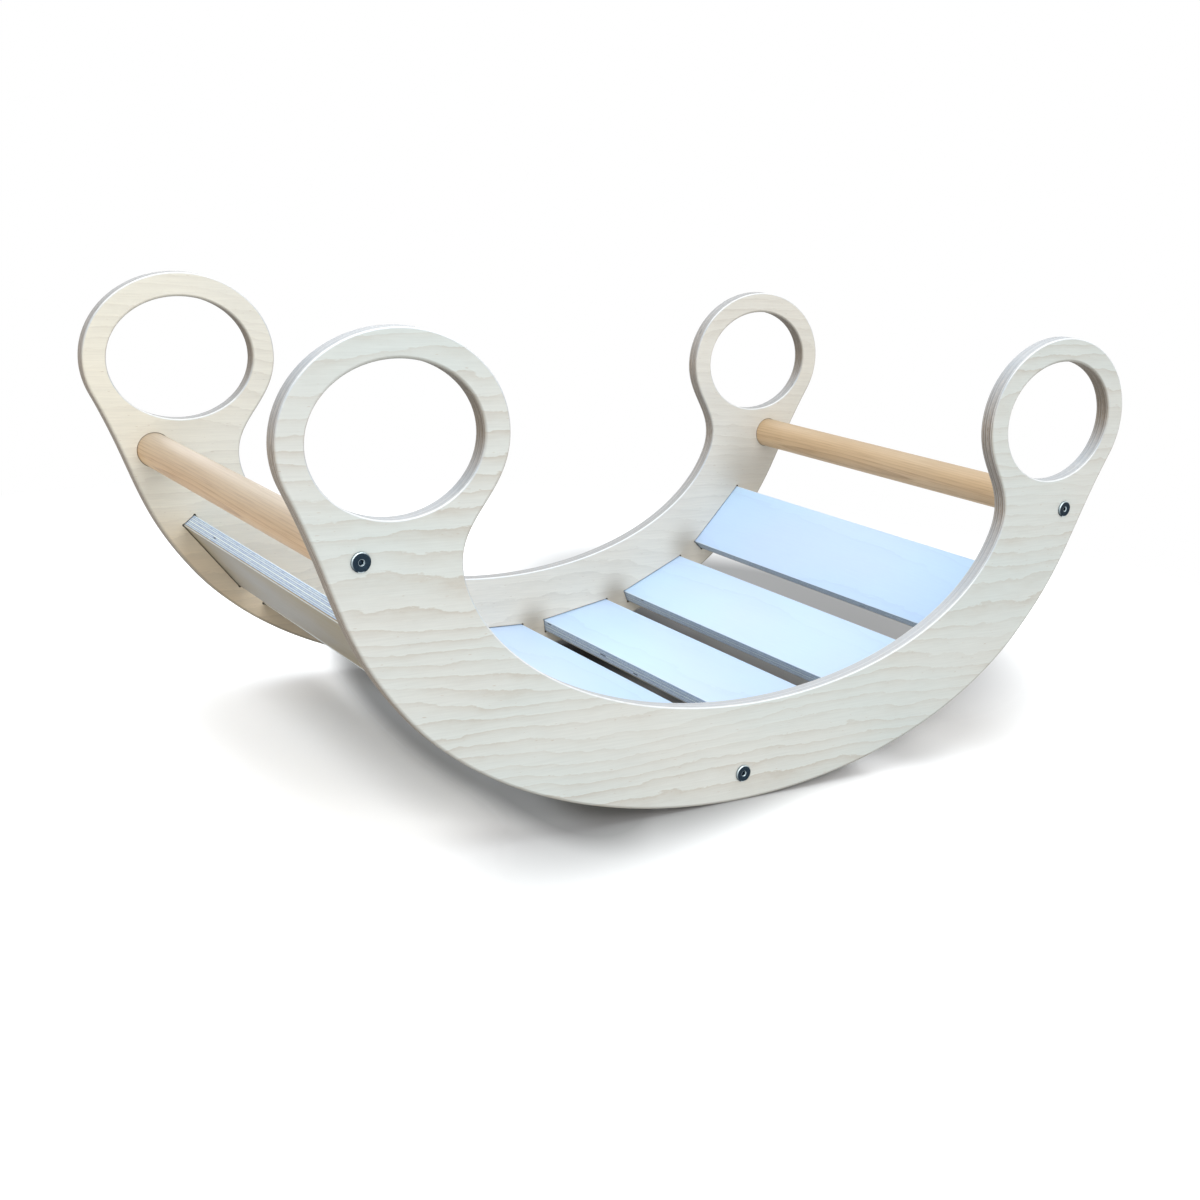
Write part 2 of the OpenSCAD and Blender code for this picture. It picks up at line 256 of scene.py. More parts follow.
def plywood(name, look, corners=()):
    # Front face, inner face and edge are mixed apart; a point's ply picks among them
    material, tree = startMaterial(name)
    board = addNode(tree, "Attribute", attribute_name="board").outputs["Vector"]
    end, wornSheen, paintedShade = [addNode(tree, "Attribute", attribute_name=key).outputs["Fac"]
                       for key in ("endGrain", "wornSheen", "paintedShade")]
    along, across, through = addNode(tree, "SeparateXYZ", {"Vector": board}).outputs

    # Growth lines: contour lines of a stretched noise, each dark on one side and fading off
    figure = noiseAt(tree, board, look["figureStretch"], detail=1.5, rough=0.45)
    wander = noiseAt(tree, board, look["wanderStretch"], detail=4.0, rough=0.62, shift=(3, 7, 1))
    bend = times(tree, figure, look["figure"])
    rings = maths(tree, "MULTIPLY_ADD", across, look["ringRate"], bend)
    rings = maths(tree, "MULTIPLY_ADD", wander, look["wander"], rings)
    line = ramp(tree, maths(tree, "FRACT", rings), look["lineShape"])
    fade = spread(tree, noiseAt(tree, board, *grain["fade"]), *grain["fadeRange"], grain["fadeLeast"], 1.0)
    line = times(tree, times(tree, line, fade), look["lineStrength"])
    cloud = noiseAt(tree, board, look["tintStretch"], shift=(5, 1, 3))
    tint = spread(tree, cloud, *grain["tintRange"])
    fibre = noiseAt(tree, board, *grain["fibre"])
    fleck = spread(tree, noiseAt(tree, board, *grain["fleck"]), *grain["fleckRange"], 0.0, look["fleck"])
    face = mixColours(tree, tint, look["coolFace"], look["warmFace"])

    # Inner face: painted warm bounce light towards one end and painted warm shade at its foot, with painted
    # shade round the corners
    backRange = look["backFrom"], look["backTo"]
    inner = mixColours(tree, spread(tree, along, *backRange), look["backWarm"], look["backCool"])
    low = times(tree, spread(tree, across, look["lowFrom"], look["lowTo"], grain["lowMost"], 0.0),
                spread(tree, along, *backRange, 1.0, grain["lowLeast"]))
    inner = mixColours(tree, low, inner, look["backFootShade"])
    inner = mixColours(tree, times(tree, tint, grain["innerTint"]), inner, look["warmFace"])
    back = maths(tree, "GREATER_THAN", through, look["thickness"] / 2)
    face = mixColours(tree, back, face, inner)
    line = times(tree, line, spread(tree, back, 0.0, 1.0, 1.0, look["backLine"]))
    if corners:
        cornerShade = times(tree, back, look["cornerShade"])
        cornerShade = times(tree, cornerShade, nearCorners(tree, corners))
        face = mixColours(tree, cornerShade, face, look["cornerShadeColour"])
    face = mixColours(tree, line, face, look["line"])
    face = mixColours(tree, fleck, face, look["fleckColour"])
    shade = spread(tree, fibre, *grain["fibreRange"], 1 - look["fibre"], 1 + look["fibre"])

    # Plies: every second one turns its fibre ends to an edge that the others meet lengthwise
    layer = times(tree, through, look["plies"] / look["thickness"])
    index = maths(tree, "FLOOR", layer)
    odd = maths(tree, "MODULO", index, 2.0)
    ends = maths(tree, "ABSOLUTE", maths(tree, "SUBTRACT", odd, end))
    inside, core = [
        times(tree, maths(tree, "GREATER_THAN", layer, skin),
              maths(tree, "LESS_THAN", layer, look["plies"] - skin)) for skin in grain["skins"]]
    seam = maths(tree, "PINGPONG", layer, 0.5)
    glue = times(tree, spread(tree, seam, *grain["glueReach"], look["glue"], 0.0), inside)
    tone = addNode(tree, "TexWhiteNoise", {"W": index}, noise_dimensions="1D").outputs["Value"]
    streak = noiseAt(tree, board, *grain["streak"])
    streaked = spread(tree, streak, *grain["streakRange"])
    cut = mixColours(tree, streaked, look["longEdge"], look["longEdgeDark"])
    fibreEnds = mixColours(tree, streaked, look["endEdge"], look["endEdgeDark"])
    edge = mixColours(tree, ends, cut, fibreEnds)
    edge = mixColours(tree, times(tree, tone, look["tone"]), edge, look["endEdgeDark"])
    seen = maths(tree, "MAXIMUM", core, times(tree, end, grain["endShare"]), clamp=True)
    body = mixColours(tree, seen, face, edge)

    # Dark glue lines and hollows, then edges pale with wear and painted sheen, and painted shade where they
    # look down or left and in the pockets
    way = maths(tree, "ADD", along, across)
    place = addNode(tree, "CombineXYZ", {0: way, 1: index, 2: 0.0}).outputs[0]
    gap = spread(tree, noiseAt(tree, place, *grain["hollow"]), *grain["hollowRange"])
    reach = times(tree, core, spread(tree, seam, *grain["hollowReach"]))
    hollow = times(tree, gap, reach)
    dark = maths(tree, "MAXIMUM", glue, times(tree, hollow, look["hollow"]), clamp=True)
    body = mixColours(tree, dark, body, look["gapColour"])
    sheen = spread(tree, streak, *grain["sheenRange"], grain["sheenLeast"] * look["wornSheen"], look["wornSheen"])
    sheen = times(tree, wornSheen, sheen)
    sheenTone = spread(tree, wornSheen, *grain["sheenToneRange"])
    pale = mixColours(tree, sheenTone, look["paleSheenColour"], look["wornSheenColour"])
    body = mixColours(tree, sheen, body, pale)
    body = mixColours(tree, times(tree, paintedShade, look["paintedShade"]), body, look["paintedShadeColour"])
    body = mixColours(tree, 1.0, body, greyColour(tree, shade), "MULTIPLY")

    roughness = spread(tree, fibre, *grain["roughRange"], *look["rough"])
    roughness = maths(tree, "MULTIPLY_ADD", seen, grain["edgeRough"], roughness, clamp=True)
    height = maths(tree, "SUBTRACT", maths(tree, "MULTIPLY_ADD", line, -grain["lineDepth"], fibre), dark)
    endMaterial(tree, body, roughness, height, look["bump"], grain["relief"])
    return material


sideLook = dict(
    thickness=0.015, plies=11,
    coolFace=(207, 213, 209), warmFace=(212, 213, 207), line=(174, 160, 142), lineStrength=0.55,
    lineShape=[(0.0, 0.0), (0.45, 0.22), (0.8, 0.6), (0.95, 1.0), (1.0, 0.0)],
    figureStretch=(3.0, 9.5, 20), figure=6.5, ringRate=72, wanderStretch=(26, 75, 20), wander=1.05,
    tintStretch=(4, 9, 12),
    # Inner face: warmer towards the rear panel's left end as painted warm bounce light, with painted warm
    # shade along its foot, strongest at that end
    backWarm=(238, 232, 215), backCool=(233, 227, 214), backFrom=6.0, backTo=6.3,
    backFootShade=(228, 192, 138), lowFrom=1.81, lowTo=1.9, backLine=0.45,
    fibre=0.055, fleck=0.5, fleckColour=(168, 140, 112),
    glue=0.75, hollow=0.8, tone=0.7,
    longEdge=(220, 213, 204), longEdgeDark=(190, 180, 168),
    endEdge=(204, 187, 168), endEdgeDark=(128, 113, 98), gapColour=(78, 66, 56),
    # Wear and a painted sheen on edges that look up: near white on the arrises, pale blue on the flat
    wornSheen=0.8, wornSheenColour=(250, 252, 254), paleSheenColour=(206, 222, 236),
    # Painted shade on edges that look down or left, in the pockets, and round the corners between the right
    # slats and under the right bar
    paintedShade=0.8, paintedShadeColour=(104, 94, 78), cornerShade=0.48, cornerShadeColour=(140, 133, 122),
    rough=(0.44, 0.58), bump=0.25,
)
slatLook = dict(
    thickness=0.015, plies=9,
    # The pale blue of the faces and edges is partly the slats' own pale finish and partly painted cool
    # skylight
    coolFace=(198, 227, 254), warmFace=(202, 223, 254), line=(174, 196, 232), lineStrength=0.3,
    lineShape=[(0.0, 0.0), (0.5, 0.10), (0.85, 0.42), (0.965, 1.0), (1.0, 0.0)],
    figureStretch=(2.2, 9, 20), figure=5.5, ringRate=30, wanderStretch=(26, 75, 20), wander=0.6,
    tintStretch=(4, 7, 12),
    # Underside: bare birch, darkened and warmed as painted shade
    backWarm=(168, 145, 92), backCool=(172, 149, 96), backFrom=0.0, backTo=9.0,
    backFootShade=(168, 145, 92), lowFrom=-9.0, lowTo=-8.0, backLine=0.5,
    fibre=0.02, fleck=0.15, fleckColour=(176, 184, 200),
    glue=0.85, hollow=1.0, tone=0.3,
    longEdge=(240, 252, 255), longEdgeDark=(226, 242, 255),
    endEdge=(232, 248, 255), endEdgeDark=(168, 190, 226), gapColour=(70, 80, 96),
    # Wear and a painted sheen on the arrises; painted shade where the section looks down
    wornSheen=0.75, wornSheenColour=(240, 249, 254), paleSheenColour=(226, 238, 252),
    paintedShade=0.55, paintedShadeColour=(116, 122, 122),
    rough=(0.36, 0.5), bump=0.15,
)
slatPly = plywood("slatPly", slatLook)
print("plywood mixed")


# Side panels: a crescent between two ellipses, with an elliptical ring handle at each end

side = dict(
    length=0.922,  # over both ring handles
    height=0.428,  # to the tops of the ring handles
    width=0.490,  # over the two outer faces
    thickness=0.015,
    depth=0.0955,  # at the middle of the arch
    ringReach=0.063,  # how far the rings pass the runner's ellipse
    ringRise=0.1845,  # how far they rise above its middle
    endWidth=0.0905,  # between the two ellipses at their ends
    seatRaise=0.0225,  # how much higher the seat's ellipse lies
    runnerAngle=61.5, seatAngle=79.0, ringStart=64.5, ringEnd=266.0,
    holeWidth=0.146, holeHeight=0.119, rim=0.023,
    blendShare=0.433,  # length of the handles of the curves that join the ring
    arris=0.0016,  # radius rounded on the edges of the wood
    arrisSteps=6,
    curveSteps=dict(runner=200, rise=60, ring=260, sweep=80, seat=200),
    holeStep=0.5,  # degrees
    lip=0.0012,  # flat strip beside the rounding
    step=0.003,  # between points along the outline
    boltHole=0.007, boltHoleSteps=36,
    cornerReach=[0.032, 0.034, 0.036, 0.075],  # of the painted shade between the right slats and under the bar
    cornerDrop=0.002, barCornerShare=0.55, barCornerShift=0.004,
    brim=0.0004,  # strip of the face round each pocket that stays free of painted shade
    upSheen=(0.1, 1.1),  # wear and painted sheen of a level edge, and what it gains by looking up
    flatFall=8,  # power with which the wear and painted sheen leave the flat of the edge
    downShade=0.8,  # painted shade on an edge that looks straight down
    arrisShade=0.7,  # share of that at the arris
    handShade=0.42,  # painted shade on the hand holes' walls that look left
    # Where each panel is cut from the board, and the wear and painted sheen of its flat edges as a share of
    # the rounding's, lower on the rear panel, whose edges are painted as in shade
    rearBoard=(6.4, 1.7), rearSheen=0.42,
    frontBoard=(9.4, 5.2), frontSheen=0.66,
)
runnerHalf = np.array([side["length"] / 2 - side["ringReach"], side["height"] - side["ringRise"]])
seatHalf = np.array([runnerHalf[0] - side["endWidth"], runnerHalf[1] + side["seatRaise"] - side["depth"]])
ringHalf = np.array([side["holeWidth"], side["holeHeight"]]) / 2 + side["rim"]
runnerMiddle = np.array([0, runnerHalf[1]])
seatMiddle = np.array([0, side["depth"] + seatHalf[1]])
ringMiddle = np.array([side["length"] / 2, side["height"]]) - ringHalf
innerY = side["width"] / 2 - side["thickness"]
outerY = side["width"] / 2


def ellipse(middle, half, degrees):
    # Middle plus half the width times the sine, and minus half the height times the cosine
    a = np.radians(degrees)
    return middle + half * np.column_stack([np.sin(a), -np.cos(a)])


def heading(half, degrees):
    # Unit step along the ellipse, from the slopes of its sine and cosine
    a = math.radians(degrees)
    step = half * (math.cos(a), math.sin(a))
    return step / np.linalg.norm(step)


def blendCurve(start, startHeading, end, endHeading, count):
    # Cubic curve whose two handles are a share of the distance that it bridges
    reach = np.linalg.norm(end - start) * side["blendShare"]
    t = np.linspace(0, 1, count + 1)[1:-1, None]
    s = 1 - t
    return (start * s**3 + 3 * (start + startHeading * reach) * s**2 * t
            + 3 * (end - endHeading * reach) * s * t**2 + end * t**3)


def evenLoop(points, step):
    # A closed line walked again at equal steps
    closed = np.vstack([points, points[:1]])
    way = [0, *np.cumsum(np.linalg.norm(np.diff(closed, axis=0), axis=1))]
    at = np.linspace(0, way[-1], round(way[-1] / step), endpoint=False)
    return np.column_stack([np.interp(at, way, line) for line in closed.T])


def sideOutline():
    # Runner, rise, ring, sweep and seat on the right, then the same mirrored on the left
    steps = side["curveSteps"]
    runner = ellipse(runnerMiddle, runnerHalf, np.linspace(0, side["runnerAngle"], steps["runner"]))
    ring = ellipse(ringMiddle, ringHalf, np.linspace(side["ringStart"], side["ringEnd"], steps["ring"]))
    seat = ellipse(seatMiddle, seatHalf, np.linspace(side["seatAngle"], 0, steps["seat"]))
    rise = blendCurve(
        runner[-1], heading(runnerHalf, side["runnerAngle"]),
        ring[0], heading(ringHalf, side["ringStart"]), steps["rise"])
    sweep = blendCurve(
        ring[-1], heading(ringHalf, side["ringEnd"]),
        seat[0], -heading(seatHalf, side["seatAngle"]), steps["sweep"])
    right = np.vstack([runner, rise, ring, sweep, seat])
    left = right[-2:0:-1] * (-1, 1)
    return evenLoop(np.vstack([right, left]), side["step"])


def handHole(hand):
    # The ring's ellipse less its rim, walked backwards because the wood is outside it
    whole = np.arange(360, 0, -side["holeStep"])
    return evenLoop(ellipse(ringMiddle * (hand, 1), ringHalf - side["rim"], whole), side["step"])


def outward(loop):
    # To the right of the direction of travel, which is away from the wood
    along = np.roll(loop, -1, axis=0) - np.roll(loop, 1, axis=0)
    away = np.column_stack([along[:, 1], -along[:, 0]])
    return away / np.linalg.norm(away, axis=1, keepdims=True)


def addRoundedEdge(shape, loop, leftShade, flatSheen):
    # Rings from the inner face to the outer one, drawn in by a quarter circle at both.
    # Wear and a painted sheen grow with how far the edge looks up, and painted shade with how far it looks
    # down or left.
    radius, steps = side["arris"], side["arrisSteps"]
    turn = np.linspace(0, math.pi / 2, steps + 1)
    inset = [radius + side["lip"], *radius * (1 - np.sin(turn))]
    dip = np.array([0, *radius * (1 - np.cos(turn))])
    tilt = [0, *np.sin(turn)]
    flat = flatSheen * np.sin(turn) ** side["flatFall"]
    wornSheen = [0, *np.maximum(np.abs(np.sin(2 * turn)) ** 0.5, flat)]
    dark = [0, *side["arrisShade"] + (1 - side["arrisShade"]) * np.sin(turn)]
    away = outward(loop)
    rows = list(zip(inset, innerY + dip, tilt, wornSheen, dark))
    rows += list(zip(inset, outerY - dip, tilt, wornSheen, dark))[::-1]
    high = np.clip(side["upSheen"][0] + side["upSheen"][1] * away[:, 1], 0, 1)
    paintedShade = np.clip(-side["downShade"] * away[:, 1] + leftShade * away[:, 0], 0, 1)
    grainEnds = np.abs(away[:, 0])
    rings = [addRing(shape, loop - away * i, y, grainEnds * t, high * w, paintedShade * d) for i, y, t, w, d in rows]
    addWalls(shape, rings)
    return rings[0], rings[-1]


# Slats: where they lie, and the pockets that hold their ends

slat = dict(
    width=0.0905,
    thickness=0.015,
    shares=[0.302, 0.62, 1.008],  # of the runner's angle
    inset=[0.0345, 0.0345, 0.0345, 0.038],  # from the runner's edge to the top face
    seat=0.005,  # how deep the ends sit in the sides
    clearance=0.0008,
    relief=0.0014, reliefSteps=14,  # round corners that the router leaves
    arris=0.0011,
    arrisSteps=5,
    endEase=0.0004,
    boardStart=0.2, boardStep=(1.3, 0.9),  # where each slat is cut from the board
)
seatY = innerY + slat["seat"]


def slatPlace(number):
    # Point of the runner's ellipse, moved in along its normal; slope follows the ellipse
    angle = ([0] + slat["shares"])[number] * side["runnerAngle"]
    way = heading(runnerHalf, angle)
    spot = ellipse(runnerMiddle, runnerHalf, [angle])[0]
    spot = spot + slat["inset"][number] * np.array([-way[1], way[0]])
    return spot, math.atan2(way[1], way[0])


slatSpots = {"slatMiddle": slatPlace(0)}
for number, name in enumerate(["Inner", "Centre", "Outer"], 1):
    spot, slope = slatPlace(number)
    slatSpots["slatRight" + name] = (spot, slope)
    slatSpots["slatLeft" + name] = (spot * (-1, 1), -slope)


def pocketLoop(spot, slope):
    # Block outline with a round relief at each corner, wood outside
    gap, radius = slat["clearance"], slat["relief"]
    start = math.atan2(-math.sqrt(radius**2 - gap**2), gap)
    turn = np.linspace(start, math.pi / 2 - start, slat["reliefSteps"])
    quarter = np.arange(4)[:, None] * math.pi / 2
    right, high = slat["width"] / 2, slat["thickness"]
    middle = np.array([[right, 0], [-right, 0], [-right, -high], [right, -high]])
    x = middle[:, :1] + radius * np.cos(turn + quarter)
    z = middle[:, 1:] + radius * np.sin(turn + quarter)
    flat = np.column_stack([x.ravel(), np.zeros(x.size), z.ravel()])
    return placed(flat, spot, slope)[::-1, [0, 2]]


def circle(middle, radius, count, wood="inside"):
    # Round loop; it travels the other way where the wood lies outside it
    a = np.linspace(0, 2 * math.pi, count, endpoint=False) * (1 if wood == "inside" else -1)
    return middle + radius * np.column_stack([np.cos(a), np.sin(a)])


bar = dict(
    diameter=0.034, roundSteps=96,
    belowHole=0.030,  # from the hand hole to the bar's axis
    out=0.0275,  # from the ring's middle to the bar's axis
    clearance=0.0004,
    chamfer=0.0006,
    insertBore=0.0102, insertDepth=0.021,
    plainFrom=0.02, plainSteps=24,  # rings between the ends
)
barSpot = np.array([ringMiddle[0] + bar["out"], ringMiddle[1] - side["holeHeight"] / 2 - bar["belowHole"]])
middleBoltSpot = np.array([0, slat["inset"][0] - slat["thickness"] / 2])


def cornersBetween():
    # Painted shade on the inner faces: between the right slats, and under the right bar
    rightSlats = [slatPlace(number)[0] for number in range(4)]
    middles = [(a + b) / 2 - (0, side["cornerDrop"]) for a, b in zip(rightSlats[:-1], rightSlats[1:])]
    share = side["barCornerShare"]
    middles.append((1 - share) * rightSlats[-1] + share * barSpot + (side["barCornerShift"], 0))
    return [(*middle.tolist(), reach) for middle, reach in zip(middles, side["cornerReach"])]


sidePly = plywood("sidePly", sideLook, cornersBetween())


def sidePanel(name, node, turned, shift, flatSheen):
    # Rounded edges round the outline and the hand holes, with blind pockets sunk in the inner face.
    # The front panel is the rear one turned half round.
    shape = newShape()
    left = 1 if turned else -1
    loops = ((sideOutline(), 0.0), (handHole(1), side["handShade"]), (handHole(-1), side["handShade"]))
    rims = [addRoundedEdge(shape, loop, share * left, flatSheen) for loop, share in loops]
    inner, outer = map(list, zip(*rims))
    wanted = [(pocketLoop(*place), middleBoltSpot if key == "slatMiddle" else None)
              for key, place in slatSpots.items()]
    socket = bar["diameter"] / 2 + bar["clearance"]
    for spot in (barSpot, barSpot * (-1, 1)):
        wanted.append((circle(spot, socket, bar["roundSteps"], "outside"), spot))
    for loop, bolt in wanted:
        brim = addRing(shape, loop - outward(loop) * side["brim"], innerY)
        # The pocket's mouth and floor get full painted shade
        mouth = addRing(shape, loop, innerY, 0.0, 0.0, 1.0)
        floor = addRing(shape, loop, seatY, 0.0, 0.0, 1.0)
        addWall(shape, brim, mouth)
        addWall(shape, mouth, floor)
        inner.append(brim)
        holes = []
        if bolt is not None:
            bore = circle(bolt, side["boltHole"] / 2, side["boltHoleSteps"], "outside")
            deep, shallow = addRing(shape, bore, seatY), addRing(shape, bore, outerY)
            addWall(shape, deep, shallow)
            holes, outer = [deep], outer + [shallow]
        addFill(shape, [floor] + holes, -1)
    addFill(shape, inner, -1)
    addFill(shape, outer, 1)
    points = np.concatenate(shape["points"])
    through = np.clip(outerY - points[:, 1], grain["hair"], side["thickness"] - grain["hair"])
    board = np.column_stack([points[:, 0] + shift[0], points[:, 2] + shift[1], through])
    if turned:
        points = points * (-1, -1, 1)
        board[:, 0] = points[:, 0] + shift[0]
    return makePiece(name, shape, points, sidePly, node, woodMarks(shape, board))


sidePanel("rearSide", "rear_side_panel", False, side["rearBoard"], side["rearSheen"])
sidePanel("frontSide", "front_side_panel", True, side["frontBoard"], side["frontSheen"])
print("side panels cut")


# Slats: a rounded section carried along Y, eased at both ends

nut = dict(
    diameter=0.010, length=0.010,
    inFromEnd=0.020,  # from the slat's end to the nut's axis
    bore=0.0102, boreDepth=0.0126, boreSteps=48,
    skin=0.0001,  # wood left between the nut's hole and the bolt's
    slotWidth=0.0014, slotDepth=0.0012, chamfer=0.0005,
    cross=0.0062,  # bore that the bolt screws into
    tip=0.0002, endRounds=26,  # radius of the innermost ring on the slotted end, and the rings there
    segments=72, sideSteps=10, sharp=30,
    wallShares=(0.75, 0.5, 0.25, 0),  # from the bore to the border
)


def slatSection(inset, slope):
    # Rounded rectangle under the XY plane, starting at the left end of its lower side.
    # It takes wear and a painted sheen where it turns, and painted shade where it looks down.
    radius = slat["arris"]
    turn = np.linspace(0, math.pi / 2, slat["arrisSteps"] + 1)
    right, low = slat["width"] / 2 - inset, slat["thickness"] - inset
    cornerX = np.array([[-1], [1], [1], [-1]]) * (right - radius)
    cornerZ = np.array([[-low + radius], [-low + radius], [-inset - radius], [-inset - radius]])
    quarter = np.array([[2], [3], [0], [1]]) * math.pi / 2
    x = cornerX + radius * np.cos(turn + quarter)
    z = cornerZ + radius * np.sin(turn + quarter)
    wornSheen = np.broadcast_to(np.abs(np.sin(2 * turn)) ** 0.5, x.shape)
    paintedShade = np.clip(-np.sin(turn + quarter + slope), 0, 1)
    return np.column_stack([x.ravel(), z.ravel()]), wornSheen.ravel(), paintedShade.ravel()


def slatPiece(name, node, shift):
    # Four rings of the section, the outer two drawn in; only the middle slat is bored
    spot, slope = slatSpots[name]
    ease = slat["endEase"]
    shape = newShape()
    rows = [(ease, -seatY), (0, -seatY + ease), (0, seatY - ease), (ease, seatY)]
    rings = []
    for inset, y in rows:
        section, wornSheen, paintedShade = slatSection(inset, slope)
        rings.append(addRing(shape, section, y, 1.0 if inset else 0.0, wornSheen, paintedShade))
    addWalls(shape, rings)
    for end, ring in ((-1, rings[0]), (1, rings[-1])):
        addFill(shape, [ring, boreEnd(shape, end, spot)] if name == "slatMiddle" else [ring], end)
    if name == "slatMiddle":
        boreNutHoles(shape, rings[1], rings[2])
    points = np.concatenate(shape["points"])
    through = np.clip(-points[:, 2], grain["hair"], slat["thickness"] - grain["hair"])
    board = np.column_stack([points[:, 1] + shift[0], points[:, 0] + shift[1], through])
    points = placed(points, spot, slope)
    return makePiece(name, shape, points, slatPly, node, woodMarks(shape, board))


def boreEnd(shape, end, spot):
    # Blind hole for the bolt, which stops just short of the nut's hole
    loop = circle(middleBoltSpot - spot, side["boltHole"] / 2, side["boltHoleSteps"], "outside")
    depth = nut["inFromEnd"] - nut["bore"] / 2 - nut["skin"]
    mouth, floor = [addRing(shape, loop, end * y, 1.0) for y in (seatY, seatY - depth)]
    addWall(shape, *((mouth, floor) if end < 0 else (floor, mouth)))
    addFill(shape, [floor], end)
    return mouth


def boreNutHoles(shape, near, far):
    # The lower side's quad gives way to a fill with two blind round holes in it
    last = slat["arrisSteps"]
    quad = np.array([near[last], far[last], far[last + 1], near[last + 1]])
    shape["faces"].remove(quad.tolist())
    count, holes = nut["boreSteps"], []
    for end in (-1, 1):
        loop = circle((0, end * (seatY - nut["inFromEnd"])), nut["bore"] / 2, count)
        mouth, floor = [addPoints(shape, np.column_stack([loop, np.full(count, z - slat["thickness"])]))
                        for z in (0, nut["boreDepth"])]
        addWall(shape, mouth, floor)
        holes.append(mouth)
        addFill(shape, [floor], 1, (0, 1))
    addFill(shape, [quad] + holes, 1, (0, 1))


slatNodes = {
    "slatMiddle": "centre_slat",
    "slatRightInner": "right_inner_slat", "slatRightCentre": "right_middle_slat",
    "slatRightOuter": "right_outer_slat",
    "slatLeftInner": "left_inner_slat", "slatLeftCentre": "left_middle_slat",
    "slatLeftOuter": "left_outer_slat",
}
for number, (name, node) in enumerate(slatNodes.items()):
    alongStep, acrossStep = slat["boardStep"]
    slatPiece(name, node, (alongStep * number + slat["boardStart"], acrossStep * number))
print("slats laid")


# Grab bars: turned round wood with the grain along Y

barLook = dict(
    pale=(221, 188, 146), warm=(213, 174, 126), line=(154, 112, 74), lineStrength=0.42, pores=0.42,
    topSheenRight=(188, 168, 138), topSheenLeft=(186, 178, 164), topSheenShare=0.7,  # painted sheen, greying the upper half
    topSheenFrom=-0.004,  # where the painted sheen sets in, from the axis
    ringStep=0.0028,  # between growth rings
    lineShape=[(0.0, 0.1), (0.6, 0.25), (0.92, 1.0), (1.0, 0.1)],
    heart=(0.055, 0.0, 0.030),  # how far off the tree's middle lay
    bendStretch=(9, 2.2, 9), bend=3.5,
    fibreStretch=(900, 18, 900), poreRange=(0.5, 0.68),
    cloudStretch=(20, 5, 20), cloudRange=(0.35, 0.65),
    rough=(0.37, 0.5), bump=0.2, relief=0.0002,
)


def barWood(name, middle, look, top):
    # Growth rings: distance from the tree's middle over the ring step, bent by a noise
    material, tree = startMaterial(name)
    place = addNode(tree, "TexCoord").outputs["Object"]
    heart = (look["heart"][0] - middle[0], 0, look["heart"][2] - middle[1])
    centred = addNode(tree, "Mapping", {"Vector": place, "Location": heart}).outputs[0]
    bend = noiseAt(tree, centred, look["bendStretch"])
    split = addNode(tree, "SeparateXYZ", {"Vector": centred}).outputs
    squares = maths(tree, "ADD", *[times(tree, split[axis], split[axis]) for axis in (0, 2)])
    steps = maths(tree, "DIVIDE", maths(tree, "SQRT", squares), look["ringStep"])
    rings = maths(tree, "MULTIPLY_ADD", bend, look["bend"], steps)
    line = ramp(tree, maths(tree, "FRACT", rings), look["lineShape"])
    fibre = noiseAt(tree, centred, look["fibreStretch"], detail=3.0, rough=0.6)
    cloud = noiseAt(tree, centred, look["cloudStretch"], shift=(4, 4, 4))
    cloud = spread(tree, cloud, *look["cloudRange"])
    colour = mixColours(tree, cloud, look["pale"], look["warm"])
    line = times(tree, line, look["lineStrength"])
    colour = mixColours(tree, line, colour, look["line"])
    pores = spread(tree, fibre, *look["poreRange"], 0.0, look["pores"])
    colour = mixColours(tree, pores, colour, look["line"])
    # Painted sheen: from just below the axis up to the top, the colour turns towards the grey top colour
    height = addNode(tree, "SeparateXYZ", {"Vector": place}).outputs[2]
    lowest, highest = middle[1] + look["topSheenFrom"], middle[1] + bar["diameter"] / 2
    upper = spread(tree, height, lowest, highest, 0.0, look["topSheenShare"])
    colour = mixColours(tree, upper, colour, top)
    roughness = spread(tree, fibre, *grain["roughRange"], *look["rough"])
    endMaterial(tree, colour, roughness, fibre, look["bump"], look["relief"])
    return material


def turnedRings(profile, count, spot):
    # Circles of the profile's radius at its depth, walked from one end to the other
    shape = newShape()
    rings = [addRing(shape, circle(spot, radius, count), y) for radius, y in profile]
    addWalls(shape, rings, capped=True)
    return shape


def grabBar(name, node, hand):
    # A chamfered round with a blind bore in each end for the insert
    radius, ease, bore = bar["diameter"] / 2, bar["chamfer"], bar["insertBore"] / 2
    half = [(bore, seatY - bar["insertDepth"]), (bore, seatY), (radius - ease, seatY), (radius, seatY - ease)]
    plainY = seatY - bar["plainFrom"]
    middle = [(radius, y) for y in np.linspace(plainY, -plainY, bar["plainSteps"])]
    profile = [(r, -y) for r, y in half] + middle[::-1] + half[::-1]
    spot = barSpot * (hand, 1)
    shape = turnedRings(profile, bar["roundSteps"], spot)
    material = barWood(name + "Wood", spot, barLook, barLook["topSheenRight" if hand > 0 else "topSheenLeft"])
    return makePiece(name, shape, np.concatenate(shape["points"]), material, node)


grabBar("grabBarRight", "right_grab_bar", 1)
grabBar("grabBarLeft", "left_grab_bar", -1)
print("grab bars turned")


# Connector bolts: flat head with an eased rim and a countersunk hexagon socket, and a threaded shank

